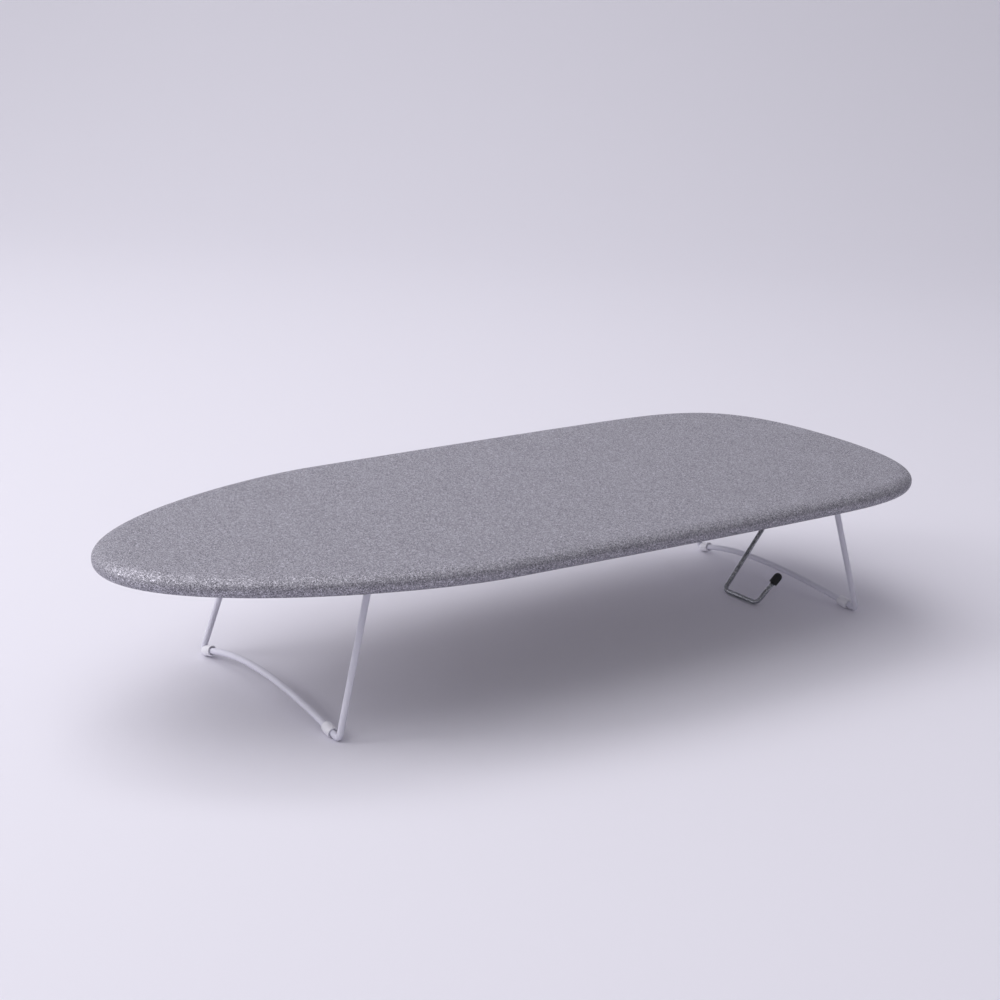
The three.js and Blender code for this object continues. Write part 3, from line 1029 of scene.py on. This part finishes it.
bushReach = 2.6  # from the bush's outer face to the middle of the bracket's ear
bushProfile = [  # radius and distance inwards along the pivot, from the middle of the bracket's ear
    (2.9, -2.3), (3.2, -2.6), (5.6, -2.6), (6.0, -2.2), (6.0, -1.3), (5.8, -1.1),
    (4.3, -1.1), (4.3, 1.1), (5.4, 1.1), (5.35, 1.6), (5.2, 2.2), (5.1, 2.3), (3.2, 2.3), (2.9, 2.0),
]
retainerProfile = [  # from inside the closed end, out by the mouth and up to the dome
    (0, 6.2), (2.9, 6.2), (2.9, 0.2), (3.1, 0), (4.7, 0), (5.0, 0.3), (5.0, 3.2), (4.75, 3.4),
    (4.75, 3.9), (5.0, 4.1), (5.0, 5.0), (4.8, 5.8), (4.2, 6.5), (3.2, 6.95), (1.8, 7.15), (0, 7.2),
]
rivetProfile = [  # a domed head below and a spread end above, from the head's lowest point
    (0, 0), (1.0, 0.08), (1.9, 0.3), (2.7, 0.75), (3.1, 1.2), (3.2, 1.4), (1.7, 1.4), (1.7, 5.0),
    (2.9, 5.0), (2.8, 5.5), (2.4, 6.0), (1.6, 6.2), (0.9, 5.9), (0, 5.8),
]
rivetHeight = 6.2
rivetHead = 2  # what lies below this keeps its shape on a longer or shorter rivet


def makeLegFittings(name):
    for side, outward in (("near", -1), ("far", 1)):
        at = f"{name}_{side}"
        axis = Vector((0, -outward, 0))
        easedCopy(at + "_bracket", "sheet", 0.3)
        low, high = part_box(at + "_bush")
        pivot = Vector(joints[name + "_leg_fold"]["pos_m"])
        outer = high.y if outward > 0 else low.y
        pivot.y = outer - outward * bushReach * mm
        turnedPiece(
            at + "_bush_turned", bushProfile, pivot, axis, "nylon", "board", "nylon", at + "_bush"
        )
        low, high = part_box(at + "_retainer")
        pivot.y = high.y if outward > 0 else low.y
        turnedPiece(
            at + "_retainer_cap", retainerProfile, pivot, axis,
            "nylon", name + "_leg", "nylon", at + "_retainer",
        )


def makeRivets(names):
    for node in names:
        low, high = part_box(node)
        centre = (low + high) / 2
        centre.z = low.z
        scale = (high.z - low.z) / mm / rivetHeight
        profile = [(r, h * scale if h > rivetHead else h) for r, h in rivetProfile]
        axis = Vector((0, 0, 1))
        turnedPiece(
            node + "_turned", profile, centre, axis, "rivet", "board", "rivet_steel", node
        )


for name in ("nose", "tail"):
    makeLeg(name)
    makeLegFittings(name)
    makeRivets([f"{name}_{side}_rivet_{i}" for side in ("near", "far") for i in (1, 2)])
print("legs made")


hookShape = {  # millimetres; the foot's place is in the frame, the rest in the hook's own plane
    "wire": 2.1,
    "footX": 239.5,
    "footHeight": 2.4,
    "legY": -2.7,
    "returnY": -44.2,
    "tipRise": 30,
    "tipFlare": 5,
    "pinEnd": 19,
    "pinTail": 10,
    "bend": 5,
}
capDepth = 8  # of the bore
capGap = 0.3  # between the wire's end and the bore's
capProfile = [  # from inside the bore's closed end, out by the mouth and up to the dome
    (0, 8), (2.4, 8), (2.4, 0.2), (2.7, 0), (3.5, 0), (3.8, 0.25), (3.9, 0.7), (3.9, 6.9),
    (3.8, 7.8), (3.5, 8.8), (3.0, 9.65), (2.3, 10.35), (1.3, 10.85), (0, 11),
]


def makeHook():
    shape = hookShape
    pivot = Vector(joints["hook_swing"]["pos_m"])
    foot = Vector((shape["footX"] * mm, 0, shape["footHeight"] * mm))
    down = (foot - pivot).normalized()
    reach = (foot - pivot).length / mm

    def place(y, distance):
        there = pivot + down * distance * mm
        there.y = y * mm
        return there

    tip = place(shape["returnY"] - shape["tipFlare"], reach - shape["tipRise"])
    corners = [
        place(shape["pinEnd"], shape["pinTail"]), place(shape["pinEnd"], 0), place(shape["legY"], 0),
        place(shape["legY"], reach), place(shape["returnY"], reach), tip,
    ]
    line = bentLine(corners, [shape["bend"] * mm] * 4, bendSteps=14)
    rod = rodMesh(line, shape["wire"] * mm, sides=24)
    makePiece("hook_wire", *rod, "zinc", "hook", "zinc_wire", "storage_hook")
    upTip = (tip - corners[-2]).normalized()
    turnedPiece("hook_cap_dome", capProfile, tip + upTip * (capGap - capDepth) * mm, upTip,
                "vinyl", "hook", "black_vinyl", "hook_cap")
    easedCopy("hook_clip", "zinc", 0.2)


makeHook()
makeRivets(["hook_rivet_1", "hook_rivet_2"])
print("hook made")
